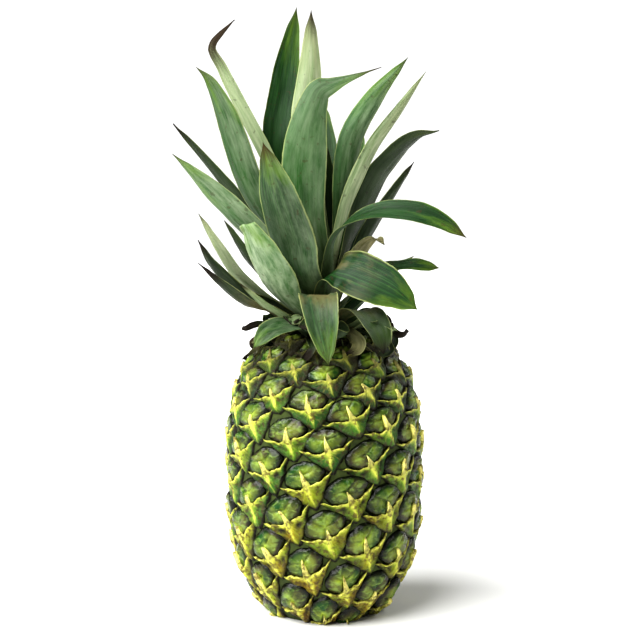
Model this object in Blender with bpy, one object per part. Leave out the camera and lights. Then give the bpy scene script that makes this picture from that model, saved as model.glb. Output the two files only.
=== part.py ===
"""A whole pineapple standing on its cut base: the fruit, its cut stalk and its crown of leaves.

Frame: metres, +Z up along the fruit's axis, origin at the centre of the flat base.
Azimuth 0 faces -Y and 90 faces +X. Crown points are in millimetres from the crown's foot.
"""

import math

import bpy
from mathutils import Vector

MM = 0.001

# Fruit: a barrel whose ends both close to the same share of its widest radius.
FRUIT_HEIGHT = 166.5 * MM
FRUIT_RADIUS = 56.5 * MM
WIDEST_HEIGHT = 95.0 * MM
END_CLOSING = 0.72
LOWER_ROUNDING = 3.0
UPPER_ROUNDING = 2.6
DISH_DEPTH = 3.0 * MM
DISH_RADIUS = 15.0 * MM

# Eyes: one spiral of fruitlets, whose rise shrinks from the base to the crown.
EYE_DIVERGENCE = math.radians(139.35)
EYE_PHASE = math.radians(-57.0)
EYE_RISE_AT_BASE = 2.00 * MM
EYE_RISE_AT_CROWN = 1.20 * MM
EYE_HALF_WIDTH = 12.5 * MM
EYE_HALF_HEIGHT = 10.5 * MM
EYE_RELIEF = 3.0 * MM
EYE_DOME_ABOVE_BRACT = 5.0 * MM
COLUMNS = 56
ROWS = 32

# Crown stem: the short tapered axis that carries the leaves.
CROWN_FOOT = 160.0 * MM
STEM_FOOT_RADIUS = 13.0
STEM_TOP_RADIUS = 3.0
STEM_FOOT = 3.9
STEM_TOP = 60.0
STEM_SIDES = 24

# Leaves: a blade is a crescent section swept along its midrib.
PART_GAP = 0.3
BLADE_STATIONS = 11
ROOT_THICKNESS = 1.8
TIP_THICKNESS = 0.8
WIDTH_PLACES = (0.0, 0.25, 0.5, 0.75, 0.92, 1.0)
RULE_WIDTHS = (0.28, 0.62, 1.0, 0.78, 0.38)

GREEN = (0.10, 0.22, 0.07)
PALE = (0.42, 0.52, 0.34)
DRY = (0.20, 0.14, 0.07)
RIND = (0.48, 0.46, 0.10)

# Each leaf: name, root azimuth, root height, midrib points (x, y, z), widths from root to tip,
# azimuth the blade faces past its middle, roll there towards the front, fold, finish
LEAVES = [
    ("tall_back_leaf", 215, 56, [(-14, 14, 74), (-28, 20, 117), (-25, 28, 153), (-17, 32, 204)],
     (6, 15, 18, 16, 8), 180, 0, 0.3, GREEN),
    ("pale_heart_leaf", 20, 58, [(-8, 2, 90), (-11, 5, 133), (-9, 8, 163), (-8, 10, 199)],
     (6, 17, 19, 14, 7), 0, 0, 0.3, PALE),
    ("broad_heart_leaf", -5, 44, [(-8, -13, 62), (-12, -15, 86), (-11, -17, 120), (-5, -16, 146), (5, -15, 153),
     (33, -8, 163)], (7, 23, 27, 20, 3), 0, 0, 0.25, GREEN),
    ("front_left_leaf", -30, 26, [(-15, -24, 42), (-19, -29, 60), (-27, -36, 86), (-35, -38, 118)],
     (8, 24, 28, 22, 10), -20, 0, 0.25, GREEN),
    ("upper_left_leaf", -72, 42, [(-24, -9, 60), (-43, -13, 92), (-57, -16, 133), (-66, -17, 153),
     (-74, -18, 162)], (6, 13, 17, 15, 7), -20, 0, 0.28, GREEN),
    ("bent_tip_leaf", -105, 50, [(-24, 4, 90), (-37, 8, 116), (-51, 14, 143), (-62, 18, 165), (-68, 19, 179),
     (-54, 18, 194)], (5, 9, 8, 5, 3), -30, 0, 0.25, PALE),
    ("hidden_left_leaf", -128, 38, [(-28, 12, 60), (-44, 18, 84), (-57, 22, 114), (-64, 24, 137)],
     (6, 12, 13, 9, 4), -40, 0, 0.35, GREEN),
    ("edge_left_leaf", -95, 32, [(-36, 4, 64), (-52, 8, 85), (-67, 11, 104), (-91, 14, 132)],
     (6, 12, 12, 8, 4), -40, 0, 0.35, GREEN),
    ("long_left_leaf", -65, 26, [(-30, -12, 54), (-49, -18, 74), (-67, -22, 92), (-87, -28, 112)],
     (6, 15, 18, 15, 6), -25, 0, 0.3, GREEN),
    ("silver_left_leaf", -98, 18, [(-38, -4, 30), (-52, -10, 42), (-62, -16, 58), (-73, -20, 78)],
     (6, 8, 9, 7, 4), -30, 0, 0.3, PALE),
    ("dark_left_leaf", -86, 13, [(-32, -6, 24), (-49, -16, 31), (-65, -22, 48), (-73, -26, 63)],
     (6, 8, 9, 7, 4), -30, 0, 0.4, DRY),
    ("dry_left_leaf", -74, 8, [(-30, -14, 20), (-46, -26, 26), (-59, -32, 37), (-72, -36, 50)],
     (5, 7, 8, 6, 3), -30, 0, 0.4, DRY),
    ("curled_left_leaf", -38, 14, [(-22, -21, 28), (-30, -33, 43), (-38, -40, 57), (-43, -42, 68), (-47, -36, 63)],
     (7, 17, 24, 22, 15), -25, 0, 0.3, GREEN),
    ("shaded_left_leaf", -66, 16, [(-24, -14, 30), (-36, -19, 42), (-47, -21, 56), (-58, -22, 74)],
     (6, 9, 10, 8, 4), -40, 0, 0.3, GREEN),
    ("low_left_leaf", -50, 7, [(-23, -21, 17), (-36, -29, 26), (-48, -34, 38)],
     (5, 8, 9, 7, 4), -40, 0, 0.3, GREEN),
    ("drooping_left_leaf", -28, 5, [(-15, -28, 13), (-30, -42, 12), (-40, -52, 3)],
     (6, 14, 18, 15, 7), -30, -20, 0.2, GREEN),
    ("folded_front_leaf", 0, 10, [(-4, -24, 26), (-4, -42, 31), (-2, -55, 20), (2, -59, -6)],
     (8, 15, 22, 18, 9), 0, 0, 0.2, GREEN),
    ("folded_right_leaf", 38, 7, [(14, -22, 18), (22, -34, 22), (30, -43, 12), (33, -46, -1)],
     (7, 16, 21, 19, 11), 30, 0, 0.2, GREEN),
    ("broad_right_leaf", 18, 22, [(4, -22, 42), (12, -29, 45), (24, -36, 41), (39, -42, 34), (52, -46, 24)],
     (8, 20, 27, 24, 12), 20, 50, 0.15, GREEN),
    ("short_right_leaf", 80, 20, [(20, -6, 38), (31, -8, 46), (42, -9, 47), (53, -9, 48), (68, -8, 46)],
     (6, 5, 6, 9, 6), 30, 50, 0.2, GREEN),
    ("arching_right_leaf", 34, 36, [(4, -17, 60), (13, -21, 72), (30, -25, 79), (50, -28, 79), (66, -30, 74),
     (81, -32, 64)], (6, 9, 14, 13, 7), 30, 50, 0.2, GREEN),
    ("dark_right_leaf", 100, 36, [(27, 8, 90), (40, 12, 110), (54, 15, 123), (69, 16, 128)],
     (6, 11, 14, 11, 6), 30, 10, 0.3, GREEN),
    ("far_right_leaf", 122, 26, [(24, 14, 62), (37, 21, 83), (55, 30, 110)],
     (6, 10, 11, 8, 4), 40, 0, 0.35, GREEN),
    ("twisted_right_leaf", 70, 42, [(9, -4, 66), (15, -3, 89), (28, 0, 117), (43, 2, 138), (60, 4, 162)],
     (6, 9, 9, 7, 3), 20, 0, 0.3, PALE),
    ("upper_right_leaf", 114, 54, [(10, 9, 84), (16, 13, 123), (30, 20, 148), (51, 24, 173)],
     (6, 13, 15, 12, 5), 10, 0, 0.3, GREEN),
    ("olive_heart_leaf", 172, 50, [(1, 12, 74), (2, 17, 98), (0, 20, 122)],
     (5, 8, 11, 8, 4), 190, 0, 0.3, GREEN),
    ("crumpled_right_leaf", 74, 28, [(18, -5, 50), (25, -8, 62), (36, -10, 67), (33, -12, 52)],
     (6, 10, 12, 9, 5), 40, 0, 0.3, DRY),
]

# Back leaves follow a rule: name, azimuth, root height, reach, rise, width. Each arches outward in one sweep.
BACK_LEAVES = [
    ("back_leaf_1", 181, 44, 46, 148, 20),
    ("back_leaf_2", 150, 40, 48, 130, 20),
    ("back_leaf_3", 228, 42, 58, 128, 20),
    ("back_leaf_4", 185, 34, 62, 112, 21),
    ("back_leaf_5", 146, 31, 62, 102, 20),
    ("back_leaf_6", 231, 28, 66, 89, 17),
    ("back_leaf_7", 208, 26, 68, 84, 21),
    ("back_leaf_8", 162, 24, 68, 76, 21),
    ("back_leaf_9", 118, 14, 62, 52, 17),
    ("back_leaf_10", 230, 18, 68, 60, 19),
    ("back_leaf_11", 184, 16, 66, 50, 20),
    ("back_leaf_12", 142, 12, 60, 36, 18),
    ("back_leaf_13", 254, 10, 58, 34, 16),
    ("back_leaf_14", 208, 9, 56, 24, 18),
]

# Neck bracts: short dry scales under the leaves, one at each azimuth.
NECK_BRACTS = (-60, -8, 18, 62, 96, 128, 170, 222, 268)
BRACT_FOOT_RADIUS = 16.5
BRACT_FOOT = 5.5
BRACT_LENGTH = 17.0
BRACT_RISE = 7.0
BRACT_WIDTH = 9.0
BRACT_STATIONS = 6


def barrel_radius(height):
    """The fruit's mean radius at a height above the base."""
    if height < WIDEST_HEIGHT:
        share = (WIDEST_HEIGHT - height) / WIDEST_HEIGHT
        return FRUIT_RADIUS * math.sqrt(1 - END_CLOSING * share**LOWER_ROUNDING)
    share = (height - WIDEST_HEIGHT) / (FRUIT_HEIGHT - WIDEST_HEIGHT)
    return FRUIT_RADIUS * math.sqrt(1 - END_CLOSING * share**UPPER_ROUNDING)


def barrel_profile(rows):
    """Points (radius, height, arc length) down the side, evenly spaced by arc length."""
    fine = 400
    heights = [FRUIT_HEIGHT * i / fine for i in range(fine + 1)]
    arcs = [0.0]
    for low, high in zip(heights, heights[1:]):
        arcs.append(arcs[-1] + math.hypot(high - low, barrel_radius(high) - barrel_radius(low)))
    profile = []
    place = 0
    for row in range(rows + 1):
        wanted = arcs[-1] * row / rows
        while place < fine - 1 and arcs[place + 1] < wanted:
            place += 1
        share = (wanted - arcs[place]) / (arcs[place + 1] - arcs[place])
        height = heights[place] + share * (heights[place + 1] - heights[place])
        profile.append((barrel_radius(height), height, wanted))
    return profile


def eye_centres(arc_total):
    """(azimuth, arc length) of each fruitlet's eye, from the base up."""
    centres = []
    arc = 0.0
    while arc < arc_total:
        centres.append((EYE_PHASE + len(centres) * EYE_DIVERGENCE, arc + EYE_DOME_ABOVE_BRACT))
        share = arc / arc_total
        arc += EYE_RISE_AT_BASE * (1 - share) + EYE_RISE_AT_CROWN * share
    return centres


def eye_height(azimuth, arc, radius, centres):
    """How far the nearest eye's dome stands out of the mean surface here."""
    nearest = 1.0
    for centre_azimuth, centre_arc in centres:
        turn = (azimuth - centre_azimuth + math.pi) % math.tau - math.pi
        across = turn * radius / EYE_HALF_WIDTH
        along = (arc - centre_arc) / EYE_HALF_HEIGHT
        nearest = min(nearest, across * across + along * along)
    return EYE_RELIEF * (1 - nearest)


def material(name, colour, roughness):
    """A plain Principled finish, shared by every piece that asks for the same name."""
    found = bpy.data.materials.get(name)
    if found:
        return found
    made = bpy.data.materials.new(name)
    made.use_nodes = True
    shader = made.node_tree.nodes["Principled BSDF"]
    shader.inputs["Base Color"].default_value = (*colour, 1.0)
    shader.inputs["Roughness"].default_value = roughness
    shader.inputs["Metallic"].default_value = 0.0
    made.diffuse_color = (*colour, 1.0)
    return made


def add_solid(name, vertices, faces, finish):
    """One closed mesh object, shaded smooth except at sharp edges."""
    mesh = bpy.data.meshes.new(name)
    mesh.from_pydata(vertices, [], faces)
    mesh.validate()
    mesh.shade_smooth()
    mesh.set_sharp_from_angle(angle=math.radians(50))
    mesh.materials.append(finish)
    solid = bpy.data.objects.new(name, mesh)
    bpy.context.scene.collection.objects.link(solid)
    return solid


def add_turned(name, rings, sides, finish):
    """A closed solid from rings of equal point count, listed from the bottom up, closed by a fan at each end."""
    vertices = [point for ring in rings for point in ring]
    faces = []
    for row in range(len(rings) - 1):
        for column in range(sides):
            beside = (column + 1) % sides
            low, high = row * sides, (row + 1) * sides
            faces.append((low + column, low + beside, high + beside, high + column))
    for ring, flip in ((0, True), (len(rings) - 1, False)):
        points = [Vector(p) for p in rings[ring]]
        vertices.append(sum(points, Vector()) / sides)
        hub = len(vertices) - 1
        for column in range(sides):
            pair = (ring * sides + column, ring * sides + (column + 1) % sides)
            faces.append((hub, pair[1], pair[0]) if flip else (hub, pair[0], pair[1]))
    return add_solid(name, vertices, faces, finish)


def around(radius, height, sides):
    """A level ring of points about the axis, anticlockwise from above."""
    turns = [math.tau * i / sides for i in range(sides)]
    return [(radius * math.sin(t), -radius * math.cos(t), height) for t in turns]


def add_fruit():
    """The fruit: a barrel with an eye dome for each fruitlet, a flat cut base and a dish for the crown."""
    profile = barrel_profile(ROWS)
    centres = eye_centres(profile[-1][2])
    rings = [around(profile[0][0] - EYE_RELIEF, 0.0, COLUMNS)]
    for radius, height, arc in profile[1:-1]:
        ring = []
        for column in range(COLUMNS):
            azimuth = math.tau * column / COLUMNS
            bulge = radius + eye_height(azimuth, arc, radius, centres)
            ring.append((bulge * math.sin(azimuth), -bulge * math.cos(azimuth), height))
        rings.append(ring)
    top_radius, top_height, _ = profile[-1]
    rings.append(around(top_radius, top_height, COLUMNS))
    rings.append(around(DISH_RADIUS, top_height - DISH_DEPTH, COLUMNS))
    return add_turned("fruit", rings, COLUMNS, material("pineapple rind", RIND, 0.55))


def stem_radius(height):
    """The crown stem's radius in millimetres at a height above the crown's foot."""
    share = (height - STEM_FOOT) / (STEM_TOP - STEM_FOOT)
    return STEM_FOOT_RADIUS + (STEM_TOP_RADIUS - STEM_FOOT_RADIUS) * share


def add_crown_stem():
    """The stem inside the crown, a plain cone with a blunt top."""
    heights = [STEM_FOOT, 20.0, 40.0, STEM_TOP]
    rings = [around(stem_radius(h) * MM, CROWN_FOOT + h * MM, STEM_SIDES) for h in heights]
    rings.append(around(STEM_TOP_RADIUS * 0.5 * MM, CROWN_FOOT + (STEM_TOP + 1.5) * MM, STEM_SIDES))
    return add_turned("crown_stem", rings, STEM_SIDES, material("crown stem", PALE, 0.7))


def smooth_path(points, count):
    """Evenly spaced points on a Catmull-Rom curve through the given ones."""
    ends = [points[0] * 2 - points[1], *points, points[-1] * 2 - points[-2]]
    steps = 24
    fine = []
    for a, b, c, d in zip(ends, ends[1:], ends[2:], ends[3:]):
        for step in range(steps):
            t = step / steps
            fine.append(
                0.5 * (2 * b + (c - a) * t + (2 * a - 5 * b + 4 * c - d) * t**2 + (3 * b - a - 3 * c + d) * t**3)
            )
    fine.append(points[-1])
    arcs = [0.0]
    for one, two in zip(fine, fine[1:]):
        arcs.append(arcs[-1] + (two - one).length)
    path = []
    place = 0
    for i in range(count):
        wanted = arcs[-1] * i / (count - 1)
        while place < len(fine) - 2 and arcs[place + 1] < wanted:
            place += 1
        share = (wanted - arcs[place]) / (arcs[place + 1] - arcs[place])
        path.append(fine[place].lerp(fine[place + 1], share))
    return path


def width_at(t, widths):
    """Blade width from the root at 0 to the tip at 1, eased between the given widths."""
    widths = (*widths, 0.0)
    for i in range(len(WIDTH_PLACES) - 2, -1, -1):
        if t >= WIDTH_PLACES[i]:
            share = (t - WIDTH_PLACES[i]) / (WIDTH_PLACES[i + 1] - WIDTH_PLACES[i])
            return widths[i] + (widths[i + 1] - widths[i]) * share
    return widths[0]


def blade_frames(path, azimuth, face, roll):
    """(point, across, inward) at each station, facing the root's azimuth at first and rolled by mid-blade."""
    frames = []
    last = len(path) - 1
    for i, point in enumerate(path):
        turn = min(2.0 * i / last, 1.0)
        turn = turn * turn * (3 - 2 * turn)
        facing = math.radians(azimuth + (face - azimuth) * turn)
        sideways = Vector((math.cos(facing), math.sin(facing), 0.0))
        tangent = (path[min(i + 1, last)] - path[max(i - 1, 0)]).normalized()
        across = (sideways - sideways.dot(tangent) * tangent).normalized()
        inward = tangent.cross(across)
        rolled = across * math.cos(math.radians(roll * turn)) + inward * math.sin(math.radians(roll * turn))
        frames.append((point, rolled, tangent.cross(rolled)))
    return frames


def add_blade(name, path, widths, facing, fold, finish):
    """A leaf: a crescent of four points at each station, closed flat at the root and to a point at the tip.

    Both sheets are split along the same diagonals, from margin to midrib, so they never cross where the blade twists.
    """
    vertices = []
    faces = []
    frames = blade_frames(path, *facing)
    last = len(frames) - 1
    for i, (point, across, inward) in enumerate(frames[:-1]):
        t = i / last
        half = width_at(t, widths) / 2
        thick = (ROOT_THICKNESS + (TIP_THICKNESS - ROOT_THICKNESS) * t) / 2
        for offset in (
            -half * across + fold * half * inward,
            -thick * inward,
            half * across + fold * half * inward,
            thick * inward,
        ):
            vertices.append((point + offset) * MM + Vector((0, 0, CROWN_FOOT)))
        if i == 0:
            faces += [(3, 2, 1), (3, 1, 0)]
            continue
        low, high = 4 * (i - 1), 4 * i
        for margin in (0, 2):
            before, after = (margin - 1) % 4, (margin + 1) % 4
            faces += [
                (low + margin, low + after, high + after),
                (low + margin, high + after, high + margin),
                (low + before, low + margin, high + before),
                (low + margin, high + margin, high + before),
            ]
    vertices.append(frames[-1][0] * MM + Vector((0, 0, CROWN_FOOT)))
    tip = len(vertices) - 1
    ring = 4 * (last - 1)
    for side in range(4):
        faces.append((ring + side, ring + (side + 1) % 4, tip))
    return add_solid(name, vertices, faces, finish)


def from_axis(azimuth, radius, height):
    """A crown point from its azimuth in degrees, distance from the axis and height."""
    turn = math.radians(azimuth)
    return Vector((radius * math.sin(turn), -radius * math.cos(turn), height))


def add_leaves():
    """The crown: the leaves placed one by one, the back leaves by rule, and the ring of neck bracts."""
    clear = PART_GAP + ROOT_THICKNESS
    for name, azimuth, height, points, widths, face, roll, fold, colour in LEAVES:
        root = from_axis(azimuth, stem_radius(height) + clear, height)
        path = smooth_path([root, *map(Vector, points)], BLADE_STATIONS)
        add_blade(name, path, widths, (azimuth, face, roll), fold, material("leaf " + name, colour, 0.45))
    for name, azimuth, height, reach, rise, width in BACK_LEAVES:
        foot = stem_radius(height) + clear
        middle = from_axis(azimuth, foot + 0.45 * (reach - foot), height + 0.5 * (rise - height))
        ends = from_axis(azimuth, foot, height), from_axis(azimuth, reach, rise)
        path = smooth_path([ends[0], middle, ends[1]], BLADE_STATIONS)
        widths = [width * share for share in RULE_WIDTHS]
        add_blade(name, path, widths, (azimuth, azimuth, 0), 0.35, material("back leaf", GREEN, 0.45))
    for number, azimuth in enumerate(NECK_BRACTS):
        ends = BRACT_FOOT_RADIUS, BRACT_FOOT_RADIUS + 0.6 * BRACT_LENGTH, BRACT_FOOT_RADIUS + BRACT_LENGTH
        rises = BRACT_FOOT, BRACT_FOOT + 0.5 * BRACT_RISE, BRACT_FOOT + BRACT_RISE
        path = smooth_path([from_axis(azimuth, r, h) for r, h in zip(ends, rises)], BRACT_STATIONS)
        name = f"neck_bract_{number + 1}"
        widths = [BRACT_WIDTH * share for share in RULE_WIDTHS]
        add_blade(name, path, widths, (azimuth, azimuth, 0), 0.3, material("dry bract", DRY, 0.8))


def main():
    for old in list(bpy.data.objects):
        bpy.data.objects.remove(old, do_unlink=True)
    add_fruit()
    add_crown_stem()
    add_leaves()


main()
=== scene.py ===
"""The look of a whole pineapple standing on its cut base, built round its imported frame.

Metres, +Z up along the fruit's axis, -Y the front. Crown points are in millimetres from the crown's foot.
A fruitlet is one eye of the rind with the fleshy bract under it. It is drawn flat, in millimetres, with the
bract's spine at the origin, and then laid round the barrel.
"""

import math
from functools import partial

import bpy
import numpy as np
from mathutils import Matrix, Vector


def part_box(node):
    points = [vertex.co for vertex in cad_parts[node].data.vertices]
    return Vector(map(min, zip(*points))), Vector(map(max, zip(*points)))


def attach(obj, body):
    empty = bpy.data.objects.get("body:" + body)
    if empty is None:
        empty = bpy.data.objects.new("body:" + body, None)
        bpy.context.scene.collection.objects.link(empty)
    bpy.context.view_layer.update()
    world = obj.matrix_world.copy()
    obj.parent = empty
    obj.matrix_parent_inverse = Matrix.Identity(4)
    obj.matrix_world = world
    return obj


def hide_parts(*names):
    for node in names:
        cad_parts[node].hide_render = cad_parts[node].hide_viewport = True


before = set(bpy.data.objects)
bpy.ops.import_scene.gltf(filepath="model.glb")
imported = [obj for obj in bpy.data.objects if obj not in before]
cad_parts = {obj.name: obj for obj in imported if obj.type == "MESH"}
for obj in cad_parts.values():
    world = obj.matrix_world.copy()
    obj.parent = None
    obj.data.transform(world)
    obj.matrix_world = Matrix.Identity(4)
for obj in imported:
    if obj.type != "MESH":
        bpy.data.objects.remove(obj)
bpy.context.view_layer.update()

bl_info = {
    "name": "Standing pineapple",
    "version": (1, 0, 0),
    "blender": (4, 5, 0),
    "location": "View3D > Sidebar > Pineapple",
    "description": "Grows the rind, fruitlets and crown of a pineapple",
    "category": "Object",
}

MM = 0.001
FRUIT_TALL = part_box("fruit")[1][2]

# The barrel: its widest place, how its ends close in, and the depths of its two dishes in millimetres
WIDEST_SHARE = 0.57
END_CLOSING = 0.72
LOWER_ROUNDING, UPPER_ROUNDING = 3.0, 2.6
BASE_HOLLOW, TOP_DISH = 0.9, 3.5
SIDE_STEPS = 300

# In metres: how far the rind lies under the barrel, the stalk's cut face, the least height of a fruitlet, and
# the distance at which a blade's points are welded
RIND_INSET = 0.0009
STALK_DISC = ((0.0135, 0.0), (0.0142, 0.0006))
FLOOR_GAP = 0.0001
WELD = 0.00003
RIND_SIDES = 96

# The spiral, in metres: change of the rise per fruitlet, the rise that fruitlets are drawn for, stray of a seat
RISE_CHANGE = -0.00000433
DRAWN_RISE = 0.001583
STRAY = 0.0009

# Drawn fruitlets, in millimetres: half sizes, squareness and middle of an eye, and depths where roots end
EYE_WIDE, EYE_HIGH = 14.6, 9.0
EYE_SQUARENESS = 1.85
EYE_MIDDLE = 6.0
BRACT_ROOT, EYE_ROOT = -3.2, -3.6
EYE_SIDES = 40
EYE_HEIGHTS = (2.0, 2.4, 1.6, 2.2, 1.8, 2.3)

# Six bracts: share of the spine's length, then the needle's lean and the lengths of an arm and the leg
BRACTS = (
    (1.0, 0.8, 19.6, 17.4), (0.8, -1.6, 19.0, 17.8), (1.1, -0.2, 19.2, 17.2), (0.6, 0.4, 20.0, 17.6),
    (0.9, 1.8, 19.4, 17.6), (0.7, -0.8, 19.8, 17.0),
)

# The crown, in millimetres: its foot, the stem inside it, and how finely its leaves are drawn
CROWN_FOOT = 160.0
STEM_FOOT_RADIUS, STEM_TOP_RADIUS = 13.0, 3.0
STEM_FOOT, STEM_TOP = 3.9, 60.0
ROOT_SHARE, ROOT_DROP = 0.6, 5
CURVE_STEPS = 24
LEAF_ROWS, SCALE_ROWS = 60, 40

CAMERA_PLACE = (-0.0028, -0.80, 0.235)
CAMERA_AIM = (-0.0028, 0.0, 0.1748)
FLOOR_REACH = 6.0

# The kinds of node used most, and the units of settings
MATH, RANGE, NOISE = "ShaderNodeMath", "ShaderNodeMapRange", "ShaderNodeTexNoise"
MIX, MAPPING = "ShaderNodeMix", "ShaderNodeMapping"
RANDOM, STORE = "FunctionNodeRandomValue", "GeometryNodeStoreNamedAttribute"
LENGTH = {"unit": "LENGTH", "subtype": "DISTANCE"}
ANGLE = {"unit": "ROTATION", "subtype": "ANGLE"}

# The crown's leaves: node, slot, root azimuth, root height, midrib points, widths from root to tip,
# azimuth faced past the middle, roll there, depth of the channel, look. A look is tint, bloom, dry tip and,
# where they aren't 0, how much paler one half of the bloom is painted than the other as painted light, and tan patches.
LEAVES = [
    ("tall_back_leaf", "green_leaf", 215, 56, [(-14, 14, 74), (-28, 20, 117), (-25, 28, 153), (-17, 32, 204)],
     (14, 15, 18, 16, 8), 180, 0, 0.3, (0.0, 0.0, 0.03, 0.0)),
    ("pale_heart_leaf", "pale_leaf", 20, 58, [(-8, 2, 90), (-11, 5, 133), (-9, 8, 163), (-8, 10, 199)],
     (14, 17, 19, 14, 7), 0, 0, 0.3, (0.95, 0.9, 0.1, 0.2)),
    ("broad_heart_leaf", "green_leaf", -5, 44, [(-8, -13, 62), (-12, -15, 86), (-11, -17, 120), (-5, -16, 146),
     (5, -15, 153), (33, -8, 163)], (14, 22, 26, 14, 2.5), 0, 0, 0.25, (0.5, 0.4, 0.1, 0.3)),
    ("front_left_leaf", "green_leaf", -30, 26, [(-15, -24, 42), (-19, -29, 60), (-27, -36, 86), (-35, -38, 118)],
     (18, 24, 28, 22, 10), -20, 0, 0.25, (-0.2, 0.22, 0.1, 1.4)),
    ("upper_left_leaf", "green_leaf", -72, 42, [(-24, -9, 60), (-43, -13, 92), (-57, -16, 133), (-66, -17, 153),
     (-74, -18, 162)], (12, 13, 17, 15, 7), -20, 0, 0.28, (0.35, 0.5, 0.05, 1.0)),
    ("bent_tip_leaf", "pale_leaf", -105, 50, [(-24, 4, 90), (-37, 8, 116), (-51, 14, 143), (-62, 18, 165),
     (-68, 19, 179), (-54, 18, 194)], (10, 11, 10, 8, 5), -30, 0, 0.25, (0.7, 0.7, 0.2, 0.0)),
    ("hidden_left_leaf", "dark_leaf", -128, 38, [(-28, 12, 60), (-44, 18, 84), (-57, 22, 114), (-64, 24, 137)],
     (12, 12, 13, 9, 4), -40, 0, 0.35, (0.3, 0.1, 0.05)),
    ("edge_left_leaf", "dark_leaf", -95, 32, [(-36, 4, 64), (-52, 8, 85), (-67, 11, 104), (-91, 14, 132)],
     (12, 12, 12, 8, 4), -40, 0, 0.35, (0.3, 0.1, 0.1)),
    ("long_left_leaf", "green_leaf", -65, 26, [(-30, -12, 54), (-49, -18, 74), (-67, -22, 92), (-87, -28, 112)],
     (13, 15, 18, 15, 6), -25, 0, 0.3, (0.8, 1.0, 0.05, 0.5)),
    ("silver_left_leaf", "pale_leaf", -98, 18, [(-38, -4, 30), (-52, -10, 42), (-62, -16, 58), (-73, -20, 78)],
     (12, 9, 11, 8, 4), -30, 0, 0.3, (0.8, 1.0, 0.05, 0.3)),
    ("dark_left_leaf", "dark_leaf", -86, 13, [(-32, -6, 24), (-49, -16, 31), (-65, -22, 48), (-73, -26, 63)],
     (12, 11, 12, 9, 4), -30, 0, 0.4, (0.1, 0.0, 0.12, 0.9)),
    ("dry_left_leaf", "dark_leaf", -74, 8, [(-30, -14, 20), (-46, -26, 26), (-59, -32, 37), (-72, -36, 50)],
     (11, 10, 12, 8, 4), -30, 0, 0.4, (0.1, 0.2, 0.2, 0.9, 0.8)),
    ("curled_left_leaf", "green_leaf", -38, 14, [(-22, -21, 28), (-30, -33, 43), (-37, -40, 57), (-44, -42, 71),
     (-46, -35, 70)], (16, 18, 24, 20, 9), -25, 0, 0.3, (1.0, 2.0, 0.0, -0.4)),
    ("shaded_left_leaf", "dark_leaf", -66, 16, [(-24, -14, 30), (-36, -19, 42), (-47, -21, 56), (-58, -22, 74)],
     (12, 9, 10, 8, 4), -40, 0, 0.3, (0.4, 0.1, 0.05)),
    ("low_left_leaf", "pale_leaf", -50, 7, [(-23, -21, 17), (-36, -29, 26), (-48, -34, 38)],
     (12, 8, 9, 7, 4), -40, 0, 0.3, (0.4, 0.4, 0.1)),
    ("drooping_left_leaf", "green_leaf", -28, 5, [(-15, -28, 13), (-30, -42, 12), (-40, -52, 3)],
     (12, 14, 18, 15, 7), -30, -20, 0.2, (-0.1, 0.6, 0.0, 0.0)),
    ("folded_front_leaf", "green_leaf", 0, 10, [(-4, -24, 26), (-4, -42, 31), (-2, -55, 20), (2, -59, -6)],
     (15, 15, 22, 18, 9), 0, 0, 0.2, (-0.25, 0.4, 0.03, 0.2, 1.0)),
    ("folded_right_leaf", "dark_leaf", 38, 7, [(14, -22, 18), (22, -34, 22), (30, -43, 12), (33, -46, -1)],
     (14, 16, 21, 19, 11), 30, 0, 0.2, (0.9, 0.5, 0.1, 0.0, 0.6)),
    ("broad_right_leaf", "green_leaf", 18, 22, [(4, -22, 42), (12, -29, 45), (24, -36, 41), (39, -42, 34),
     (52, -46, 24)], (16, 20, 27, 24, 12), 20, 50, 0.15, (-0.6, 0.0, 0.02, 0.0, 0.6)),
    ("short_right_leaf", "green_leaf", 80, 20, [(20, -6, 38), (31, -8, 46), (42, -9, 47), (53, -9, 48),
     (68, -8, 46)], (12, 5, 6, 9, 6), 30, 50, 0.2, (-0.3, 0.0, 0.05, 0.0, 0.4)),
    ("arching_right_leaf", "green_leaf", 34, 36, [(4, -17, 60), (13, -21, 72), (30, -25, 79), (50, -28, 79),
     (66, -30, 74), (81, -32, 64)], (12, 9, 14, 13, 7), 30, 50, 0.2, (-0.1, 0.05, 0.08, 0.0)),
    ("dark_right_leaf", "dark_leaf", 100, 36, [(27, 8, 90), (40, 12, 110), (54, 15, 123), (69, 16, 128)],
     (12, 14, 18, 15, 9), 30, 10, 0.3, (0.3, 0.1, 0.0, 0.3)),
    ("far_right_leaf", "dark_leaf", 122, 26, [(24, 14, 62), (37, 21, 83), (55, 30, 110)],
     (12, 10, 11, 8, 4), 40, 0, 0.35, (0.2, 0.0, 0.1)),
    ("twisted_right_leaf", "pale_leaf", 70, 42, [(9, -4, 66), (15, -3, 89), (28, 0, 117), (43, 2, 138),
     (60, 4, 162)], (10, 9, 9, 7, 3), 20, 0, 0.3, (0.2, 1.0, 0.0, 0.6)),
    ("upper_right_leaf", "green_leaf", 114, 54, [(10, 9, 84), (16, 13, 123), (30, 20, 148), (51, 24, 173)],
     (10, 13, 15, 12, 5), 10, 0, 0.3, (0.75, 0.6, 0.05, 1.0)),
    ("olive_heart_leaf", "dark_leaf", 172, 50, [(1, 12, 74), (2, 17, 98), (0, 20, 122)],
     (9, 8, 11, 8, 4), 190, 0, 0.3, (0.7, 0.1, 0.1)),
    ("crumpled_right_leaf", "dry_leaf", 74, 28, [(18, -5, 48), (24, -8, 58), (30, -10, 63), (35, -12, 60)],
     (12, 13, 16, 13, 8), 40, 0, 0.3, (1.0, 1.3, 0.0, 0.0)),
]

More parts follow.
